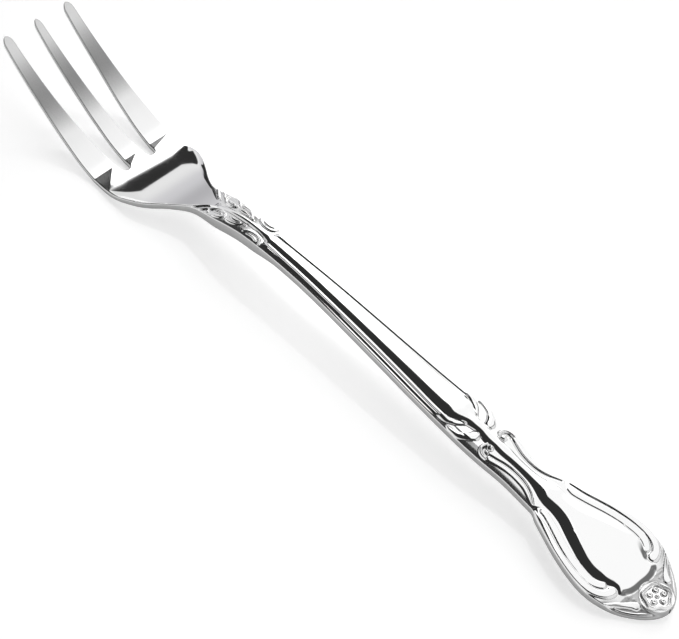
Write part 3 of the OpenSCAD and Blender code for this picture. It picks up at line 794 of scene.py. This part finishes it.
def upper_z(y, u):
    """Height of the upper face, in millimetres above the table."""
    a = np.abs(u)
    d = edge_distance(y, u)
    along = 1 - smooth((y - NECK_Y - ROLL_PAST) / ROLL_FADE)
    roll = ROLL_DROP * np.clip(1 - d / ROLL_W, 0, 1) ** 2 * along
    raised = ornament_height(y, a, d) + ground_height(y, a) + rim_height(y, a)
    z = spine(bent(y, u)) + thickness(y) + raised - hollow_drop(y, u) - roll - right_fall(y, u)
    ring = np.hypot(y - ROSETTE_Y, a)
    z = seat_z + (z - seat_z) * smooth((ring - SEAT_R) / SEAT_EDGE)
    return z - rounding(d, top_round(y))


def lower_z(y, u):
    """Height of the underside, in millimetres above the table."""
    sag = NECK_SAG * between(y, *SAG_SPAN)
    rim = RIM_BELOW * rim_height(y, np.abs(u)) * smooth((y - HEAD_Y) / RIM_BELOW_L)
    lift = rounding(edge_distance(y, u), low_round(y))
    return np.maximum(spine(bent(y, u)) - sag, 0) + rim + lift


def across(a, b, edge, count):
    """Places across a strip from a to b, drawn together at both edges to take a rounding."""
    width = (b - a)[:, None]
    share = 1 - np.cos(EDGE_TURNS)[None, :]
    near = np.minimum(edge, EDGE_SHARE * width) * share
    inner = np.linspace(0, 1, count + 2)[1:-1][None, :]
    middle = near[:, -1:] + inner * (width - 2 * near[:, -1:])
    return np.concatenate([a[:, None] + near, a[:, None] + middle,
                           (b[:, None] - near)[:, ::-1]], 1)


def rows_between(lo, hi, gap):
    n = max(int(math.ceil((hi - lo) / gap)), 1)
    return np.linspace(lo, hi, n + 1)[:-1]


# Rows of points along the fork, finer where it is struck with ornament
ROWS = np.concatenate([
    FIRST_ROWS,
    rows_between(FIRST_L, WAIST_Y, FINE_GAP),
    rows_between(WAIST_Y, SHANK_Y, FINE_GAP),
    rows_between(SHANK_Y, NECK_Y, PLAIN_GAP),
    rows_between(NECK_Y, HEAD_Y, FINE_GAP),
    rows_between(HEAD_Y, SLOT_APEX - SLOT_NEAR, FINE_GAP),
    rows_between(SLOT_APEX - SLOT_NEAR, SLOT_APEX, APEX_GAP),
    TINE_Y - SLOT_R * np.cos(SLOT_TURNS),
    rows_between(TINE_Y, CREASE_Y, ROOT_GAP),
    rows_between(CREASE_Y, CREASE_Y + CREASE_L, FINE_GAP),
    rows_between(CREASE_Y + CREASE_L, OVERALL_L - TIP_ROUND_L, PLAIN_GAP),
    OVERALL_L - TIP_ROUND_L * (1 - np.sin(TIP_TURNS)),
])


def strip_grid(index, low):
    """The plan places of one strip: rows by columns."""
    a, b = strip_edges(ROWS)[index]
    if low:
        return across(a, b, low_round(OVERALL_L), LOW_COUNT)
    return across(a, b, TOP_ROUND, MIDDLE_COUNT if index == 1 else SIDE_COUNT)


def zone_rows(lo, hi):
    return np.flatnonzero((ROWS >= lo - SAME) & (ROWS <= hi + SAME))


class Whole:
    """The whole blank as one set of points and faces, before it is split into its zones."""

    def __init__(self):
        self.points, self.faces, self.face_row, self.face_strip = [], [], [], []
        self.top, self.low = [], []
        count = 0
        for k in range(3):
            for low in (False, True):
                u = strip_grid(k, low)
                y = np.repeat(ROWS[:, None], u.shape[1], 1)
                height = lower_z if low else upper_z
                z = height(y.ravel(), u.ravel()).reshape(u.shape)
                self.points.append(np.stack([u, y + LOW_Y, z], -1).reshape(-1, 3))
                ids = np.arange(count, count + u.size).reshape(u.shape)
                count += u.size
                (self.low if low else self.top).append(ids)
        self.points = np.concatenate(self.points)
        for k in range(3):
            top, low = self.top[k], self.low[k]
            self.grid(top, False, k)
            self.grid(low, True, k)
            self.wall(top[:, 0], low[:, 0], True, k)
            self.wall(top[:, -1], low[:, -1], False, k)
        self.faces = np.concatenate(self.faces)
        self.face_row = np.concatenate(self.face_row)
        self.face_strip = np.concatenate(self.face_strip)

    def add(self, quads, rows, strip):
        self.faces.append(quads.reshape(-1, 4))
        self.face_row.append(rows.ravel())
        self.face_strip.append(np.full(rows.size, strip))

    def grid(self, ids, flip, strip):
        q = np.stack([ids[:-1, :-1], ids[:-1, 1:], ids[1:, 1:], ids[1:, :-1]], -1)
        if flip:
            q = q[..., ::-1]
        rows = np.repeat(np.arange(len(ids) - 1)[:, None], ids.shape[1] - 1, 1)
        self.add(q, rows, strip)

    def wall(self, top, low, left, strip):
        """The side wall, left out where two strips share the line below the slots."""
        rows = np.arange(len(top) - 1)
        inner = (strip == 1) or (strip == 0 and not left) or (strip == 2 and left)
        if inner:
            rows = rows[ROWS[rows + 1] > SLOT_APEX + SAME]
        q = np.stack([top[rows], top[rows + 1], low[rows + 1], low[rows]], -1)
        if not left:
            q = q[:, ::-1]
        self.add(q, rows, strip)


def weld(points, faces):
    """Joins the points that lie at one place; also tells which point each one became."""
    key = np.round(points / JOIN).astype(np.int64)
    _, first, back = np.unique(key, axis=0, return_index=True, return_inverse=True)
    back = back.ravel()
    return points[first], back[faces], back


def satin_and_shade_at(y, u):
    """How dull the finish is: dull and rough in the struck hollows, polished on what stands out,
    and dark with painted shade in the recess round the flower.
    """
    a = np.abs(u)
    first_y = PANEL[0][0]
    struck = smooth((a - panel_edge(y) - PANEL_SATIN_GAP) / PANEL_SATIN_W) * (y < HEAD_Y)
    front = smooth((a - point_edge(y) - FRONT_SATIN_GAP) / FRONT_SATIN_W)
    struck = np.where(y > FRONT_Y, struck * front, struck)
    struck = np.where(y > first_y, struck, 1)
    h = np.zeros_like(y)
    ornament = y < HEAD_Y
    h[ornament] = relief_height(y[ornament], a[ornament])
    raised = smooth((h - POLISH_START) / POLISH_RISE)
    left = 1 - POLISH * np.maximum(raised, smooth(core_height(y, a) / CORE_RISE))
    end = END_SATIN * left * smooth((END_SATIN_Y - y) / END_SATIN_L) + END_LEAST
    left = np.where(y < WAIST_Y, end, left)
    left = np.where(y > WAIST_Y, HANDLE_SATIN * left, left)
    left = np.where((y > SHANK_Y + SHANK_SATIN_PAST) & (y < NECK_Y), SHANK_SATIN, left)
    # Painted shade: the recess round the flower gets a rough finish whose high value darkens its
    # tone
    shaded_recess = (y < RECESS_LAST_Y) & (h < RECESS_GROUND) & (np.hypot(y - ROSETTE_Y, u) > SEAT_R)
    left = np.where(shaded_recess, RECESS_SATIN_AND_SHADE, left)
    tines = TINE_SATIN * smooth((y - CREASE_Y) / TINE_SATIN_L)
    hollows = HOLLOW_SATIN * smooth(hollow_drop(y, u) / HOLLOW_SATIN_DROP)
    hollows = hollows * (y < CREASE_Y + HOLLOW_SATIN_PAST)
    return np.maximum.reduce([struck * left, tines, hollows])


def with_walls(satin_and_shade, tilt):
    """Adds the finish of the side walls, whose dark tone is partly a rougher sheared finish and
    partly painted shade, and of the underside; tilt is the rise of the normal.
    """
    wall = smooth((WALL_TILT - tilt) / WALL_TILT_RANGE)
    # Painted shade: the walls go to the dark end of the steel's tone, partly for their rougher
    # sheared finish
    satin_and_shade = satin_and_shade + (WALL_SATIN_AND_SHADE - satin_and_shade) * wall
    return np.where(tilt > UNDER_TILT, satin_and_shade, UNDER_SATIN)


def mesh_from(name, points, faces, normals=None, satin_and_shade=None):
    """A new object from the points that the faces use; its normals and its finish values, which
    carry painted shade, are optional.
    """
    clean = []
    for face in faces:
        corners = [v for i, v in enumerate(face) if v != face[i - 1]]
        if len(set(corners)) >= 3:
            clean.append(corners)
    used = np.unique(np.concatenate([np.array(corners) for corners in clean]))
    place = np.full(len(points), -1)
    place[used] = np.arange(len(used))
    mesh = bpy.data.meshes.new(name)
    mesh.from_pydata((points[used] * MM).tolist(), [], [place[c].tolist() for c in clean])
    mesh.validate()
    mesh.polygons.foreach_set("use_smooth", [True] * len(mesh.polygons))
    if normals is not None:
        mesh.normals_split_custom_set_from_vertices(normals[used].tolist())
    if satin_and_shade is not None:
        mesh.attributes.new("satin_and_shade", "FLOAT", "POINT").data.foreach_set("value", satin_and_shade[used])
    piece = bpy.data.objects.new(name, mesh)
    bpy.context.scene.collection.objects.link(piece)
    return piece


def vertex_normals(points, faces):
    """Normals at the points, for which a small face counts more than a large one."""
    a, b, c, d = (points[faces[:, i]] for i in range(4))
    n = np.cross(c - a, d - b)
    n = n / (np.sum(n * n, 1, keepdims=True) + LEAST_FACE)
    out = np.zeros_like(points)
    for i in range(4):
        np.add.at(out, faces[:, i], n)
    return out / np.maximum(np.linalg.norm(out, axis=1, keepdims=True), TINY)


def end_face(whole, back, row, strips, first):
    """The flat polygon that closes a zone at its first or last row, across the given strips."""
    top = np.concatenate([whole.top[k][row] for k in strips])
    low = np.concatenate([whole.low[k][row] for k in strips])
    ring = back[np.concatenate([top, low[::-1]])]
    ring = [int(v) for i, v in enumerate(ring) if v != ring[i - 1]]
    return ring if first else ring[::-1]


whole = Whole()
points, faces, back = weld(whole.points, whole.faces)
normals = vertex_normals(points, faces)
# Finish at each point: satin and polish, with painted shade darkening the side walls and the recess
satin_and_shade = with_walls(satin_and_shade_at(points[:, 1] - LOW_Y, points[:, 0]), normals[:, 2])


def make_zone(name, lo, hi, strips):
    """One zone of the blank, closed where it is cut; at the slots it has three ends."""
    rows = zone_rows(lo, hi)
    here = (whole.face_row >= rows[0]) & (whole.face_row < rows[-1])
    here = here & np.isin(whole.face_strip, strips)
    body = [list(map(int, face)) for face in faces[here]]
    body.append(end_face(whole, back, rows[0], strips, True))
    parted = hi >= TINE_Y - SAME
    for group in ([(k,) for k in strips] if parted else [strips]):
        body.append(end_face(whole, back, rows[-1], group, False))
    return mesh_from(name, points, body, normals, satin_and_shade)


# Steel: place of each tone from bright to dull, and the tone; the dull end is reached only on the
# side walls and in the recess round the flower, where its darkness is painted shade
STEEL_TONES = [(0, 0.76), (0.5, 0.68), (1, 0.36)]
# Haze: its scale and detail, and how much of it and of the satin with its painted shade go to the
# roughness and the tone, each with its start
HAZE_SCALE = 180
HAZE_DETAIL = 4
ROUGH_SHARES = (0.06, 0.22, 0.03)
TONE_SHARES = (0.1, 0.5, -0.05)
# Fine wear along the fork: its scale on each axis, detail, strength and depth in metres
WEAR_SCALE = (9000, 700, 4000)
WEAR_DETAIL = 3
WEAR_STRENGTH = 0.02
WEAR_DEPTH = 0.00002
# Floor: tone, roughness, shine, glow and half size in metres
FLOOR_TONE = 0.8
FLOOR_ROUGH = 0.12
FLOOR_SHINE = 0.35
FLOOR_GLOW = 0.5
FLOOR_HALF = 3.0


def new_material(name):
    """A new material, its node tree and its shader's sockets."""
    mat = bpy.data.materials.new(name)
    mat.use_nodes = True
    return mat, mat.node_tree, mat.node_tree.nodes["Principled BSDF"].inputs


def new_node(tree, kind, inputs, operation=None):
    """A new node whose inputs take the given values or the outputs of other nodes."""
    node = tree.nodes.new("ShaderNode" + kind)
    if operation:
        node.operation = operation
    for key, value in inputs.items():
        if isinstance(value, bpy.types.NodeSocket):
            tree.links.new(value, node.inputs[key])
        else:
            node.inputs[key].default_value = value
    return node


def noise(tree, vector, scale, detail):
    inputs = {"Vector": vector, "Scale": scale, "Detail": detail}
    return new_node(tree, "TexNoise", inputs).outputs["Fac"]


def mixture(tree, a, b, shares):
    """The two values times their shares, added to a start."""
    share_a, share_b, start = shares
    first = new_node(tree, "Math", {0: a, 1: share_a, 2: start}, "MULTIPLY_ADD")
    second = new_node(tree, "Math", {0: b, 1: share_b, 2: first.outputs[0]}, "MULTIPLY_ADD")
    return second.outputs[0]


def polished_steel():
    """Mirror-polished stainless steel with a faint haze, fine wear, a duller finish in the struck
    hollows, and painted shade darkening the side walls and the recess round the flower.
    """
    mat, tree, shader = new_material("polished_steel")
    nodes, links = tree.nodes, tree.links
    shader["Metallic"].default_value = 1.0
    place = nodes.new("ShaderNodeTexCoord").outputs["Object"]
    haze = noise(tree, place, HAZE_SCALE, HAZE_DETAIL)
    satin_and_shade = nodes.new("ShaderNodeAttribute")
    satin_and_shade.attribute_name = "satin_and_shade"
    rough = mixture(tree, haze, satin_and_shade.outputs["Fac"], ROUGH_SHARES)
    links.new(rough, shader["Roughness"])
    # The tone darkens with the satin; its darkest end, on the side walls and in the recess, is
    # painted shade
    tone = nodes.new("ShaderNodeValToRGB")
    bright, middle, dull_and_shaded = STEEL_TONES
    ramp = tone.color_ramp.elements
    ramp[0].color = (*[bright[1]] * 3, 1)
    ramp[1].color = (*[dull_and_shaded[1]] * 3, 1)
    ramp.new(middle[0]).color = (*[middle[1]] * 3, 1)
    links.new(mixture(tree, haze, satin_and_shade.outputs["Fac"], TONE_SHARES), tone.inputs["Fac"])
    links.new(tone.outputs["Color"], shader["Base Color"])
    stretch = new_node(tree, "Mapping", {"Vector": place, "Scale": WEAR_SCALE})
    wear = noise(tree, stretch.outputs["Vector"], 1, WEAR_DETAIL)
    inputs = {"Strength": WEAR_STRENGTH, "Distance": WEAR_DEPTH, "Height": wear}
    bump = new_node(tree, "Bump", inputs)
    links.new(bump.outputs["Normal"], shader["Normal"])
    return mat


def floor_material():
    mat, _, shader = new_material("pale_floor")
    shader["Base Color"].default_value = (FLOOR_TONE, FLOOR_TONE, FLOOR_TONE, 1)
    shader["Roughness"].default_value = FLOOR_ROUGH
    shader["Specular IOR Level"].default_value = FLOOR_SHINE
    shader["Emission Color"].default_value = (1, 1, 1, 1)
    shader["Emission Strength"].default_value = FLOOR_GLOW
    return mat


# Camera, as fitted to the photograph: angles in degrees, lengths in millimetres or in pixels,
# and the nearest distance in metres
CAM_AZIMUTH, CAM_ELEVATION, CAM_ROLL = -49.29, 50.40, 6.73
CAM_DISTANCE = 383.75
CAM_FOCAL_PX = 2530.2
CAM_OFFSET_PX = (28.07, 21.10)
CAM_TARGET = (0.0, 62.0, 4.0)
FRAME_W_PX = 679
SENSOR_W = 36.0
CLIP_START = 0.01


def make_camera():
    a, e, r = (math.radians(v) for v in (CAM_AZIMUTH, CAM_ELEVATION, CAM_ROLL))
    away = Vector((math.sin(a) * math.cos(e), -math.cos(a) * math.cos(e), math.sin(e)))
    side = Vector((math.cos(a), math.sin(a), 0))
    up = away.cross(side)
    right = math.cos(r) * side + math.sin(r) * up
    top = -math.sin(r) * side + math.cos(r) * up
    ox, oy = (v * CAM_DISTANCE / CAM_FOCAL_PX for v in CAM_OFFSET_PX)
    target = Vector((CAM_TARGET[0], CAM_TARGET[1] + LOW_Y, CAM_TARGET[2]))
    place = (target + away * CAM_DISTANCE - right * ox + top * oy) * MM
    data = bpy.data.cameras.new("camera")
    data.sensor_fit = "HORIZONTAL"
    data.sensor_width = SENSOR_W
    data.lens = CAM_FOCAL_PX / FRAME_W_PX * SENSOR_W
    data.clip_start = CLIP_START
    cam = bpy.data.objects.new("camera", data)
    cam.matrix_world = Matrix((
        (right.x, top.x, away.x, place.x),
        (right.y, top.y, away.y, place.y),
        (right.z, top.z, away.z, place.z),
        (0, 0, 0, 1)))
    bpy.context.scene.collection.objects.link(cam)
    bpy.context.scene.camera = cam


def make_floor():
    mesh = bpy.data.meshes.new("floor")
    s = FLOOR_HALF
    mesh.from_pydata([(-s, -s, 0), (s, -s, 0), (s, s, 0), (-s, s, 0)], [], [(0, 1, 2, 3)])
    floor = bpy.data.objects.new("floor", mesh)
    floor.data.materials.append(floor_material())
    bpy.context.scene.collection.objects.link(floor)


def grey(value):
    return (value, value, value)


# The light tent's walls and dark ceiling, each laid over the ones before: direction, where on it
# they begin and where they are full, and colour
TENT_BASE = (0.03, 0.03, 0.033)
TENT = [((0, 0, 1), 0.04, 0.11, (0.46, 0.455, 0.475)),
        ((0, 0, 1), 0.10, 0.26, (0.78, 0.775, 0.80)),
        ((0, 0, 1), 0.24, 0.48, grey(1.03)),
        ((0.829, -0.559, 0), -0.03, 0.05, grey(0.95)),
        ((-1, 0, 0), 0.25, 0.5, grey(0.85)),
        ((-0.1, 0, 1), 0.482, 0.492, grey(0.035))]
# The large soft light over the right side: its own parts in the same way, the dark gap across it,
# and the sides that bound it
LIGHT_BASE = grey(1.26)
LIGHT = [((0, -1, -0.38), 0.0, 0.1, grey(1.0)), ((0, 1, 0), 0.15, 0.4, grey(2.4))]
GAP = [((0, 0.934, 0.358), -0.21, -0.05), ((0, -0.934, -0.358), -0.12, 0.03)]
GAP_TONE = grey(0.2)
LIGHT_SIDES = [((0.675, -0.724, 0.138), -0.006, 0.006), ((1, 0, 0.05), -0.03, 0.03),
               ((0, 0, 1), 0.04, 0.1)]


def make_world():
    """A light tent: pale walls, a dark ceiling, and one large soft light over the right side."""
    world = bpy.data.worlds.new("tent")
    world.use_nodes = True
    tree = world.node_tree
    nodes, links = tree.nodes, tree.links
    background = nodes["Background"].inputs
    direction_out = nodes.new("ShaderNodeTexCoord").outputs["Generated"]

    def side(direction, lo, hi):
        dot = new_node(tree, "VectorMath", {0: direction_out, 1: direction}, "DOT_PRODUCT")
        inputs = {"Value": dot.outputs["Value"], "From Min": lo, "From Max": hi}
        ramp = new_node(tree, "MapRange", inputs)
        ramp.interpolation_type = "SMOOTHSTEP"
        return ramp.outputs["Result"]

    def inside(sides):
        value = side(*sides[0])
        for one in sides[1:]:
            product = new_node(tree, "Math", {0: value, 1: side(*one)}, "MULTIPLY")
            value = product.outputs["Value"]
        return value

    def mix(share, a, b):
        node = nodes.new("ShaderNodeMix")
        node.data_type = "RGBA"
        links.new(share, node.inputs[0])
        for socket, value in ((node.inputs[6], a), (node.inputs[7], b)):
            if isinstance(value, tuple):
                socket.default_value = (*value, 1)
            else:
                links.new(value, socket)
        return node.outputs[2]

    def laid(base, parts):
        for direction, lo, hi, colour in parts:
            base = mix(side(direction, lo, hi), base, colour)
        return base

    light = mix(inside(GAP), laid(LIGHT_BASE, LIGHT), GAP_TONE)
    sky = mix(inside(LIGHT_SIDES), laid(TENT_BASE, TENT), light)
    links.new(sky, background["Color"])
    background["Strength"].default_value = 1.0
    bpy.context.scene.world = world


def dome(x):
    return np.sqrt(np.clip(1 - x * x, 0, 1))


def flower_height(s, angle):
    """Height of the flower at the share s of its radius, as a share of its rise."""
    turn = 2 * np.pi / ROSETTE_LOBES
    phase = np.abs(np.mod(angle + turn / 2, turn) - turn / 2)
    off = np.hypot(s * np.sin(phase), s * np.cos(phase) - PETAL_AT)
    petals = PETAL_RISE * dome(off / PETAL_R) - DIMPLE * np.exp(-off**2 / DIMPLE_SPREAD)
    others = [rise * dome((s - at) / half) for at, half, rise in FLOWER_RINGS]
    others += [CENTRE_RISE * dome(s / CENTRE_R), FLOWER_GROUND]
    side = max(smooth((1 - s) / FLOWER_SIDE), FLOWER_SIDE_LEAST)
    return np.maximum(petals, max(others)) * side


def make_rosette(steel):
    """Five-petalled flower on its level seat: a lobed rim, petals and a round centre."""
    angle = np.linspace(0, 2 * np.pi, FLOWER_POINTS, endpoint=False)
    pull = (1 - np.cos(ROSETTE_LOBES * angle)) / 2
    rings = []
    for s in FLOWER_SHARES:
        r = s * ROSETTE_R * (1 - LOBE_DEPTH * pull * s)
        y = ROSETTE_Y - r * np.cos(angle) + LOW_Y
        share = flower_height(s, angle) if s < 1 else np.zeros_like(angle)
        rings.append(np.stack([r * np.sin(angle), y, seat_z + ROSETTE_RISE * share], -1))
    ids = np.arange(len(rings) * FLOWER_POINTS).reshape(len(rings), FLOWER_POINTS)
    beside = np.roll(ids, -1, 1)
    quads = np.stack([ids[:-1], beside[:-1], beside[1:], ids[1:]], -1).reshape(-1, 4)
    flats = [ids[0, ::-1].tolist(), ids[-1].tolist()]
    piece = mesh_from("rosette_flower", np.concatenate(rings), quads.tolist() + flats)
    piece.data.materials.append(steel)
    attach(piece, "root")
    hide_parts("rosette")


def make_fork(steel):
    every = (0, 1, 2)
    zones = [("handle_end_blank", ROWS[0], WAIST_Y, every, ("handle_end",)),
             ("waist_blank", WAIST_Y, SHANK_Y, every, ("waist",)),
             ("shank_blank", SHANK_Y, NECK_Y, every, ("shank",)),
             ("neck_blank", NECK_Y, HEAD_Y, every, ("neck",)),
             ("head_blank", HEAD_Y, TINE_Y, every, ("head",)),
             ("left_tine_blank", TINE_Y, OVERALL_L, (0,), ("left_tine",)),
             ("middle_tine_blank", TINE_Y, OVERALL_L, (1,), ("middle_tine",)),
             ("right_tine_blank", TINE_Y, OVERALL_L, (2,), ("right_tine",))]
    for name, lo, hi, strips, nodes in zones:
        piece = make_zone(name, lo, hi, strips)
        piece.data.materials.append(steel)
        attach(piece, "root")
        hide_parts(*nodes)


steel = polished_steel()
make_fork(steel)
make_rosette(steel)
make_camera()
make_floor()
make_world()
bpy.context.scene.view_settings.view_transform = "Standard"
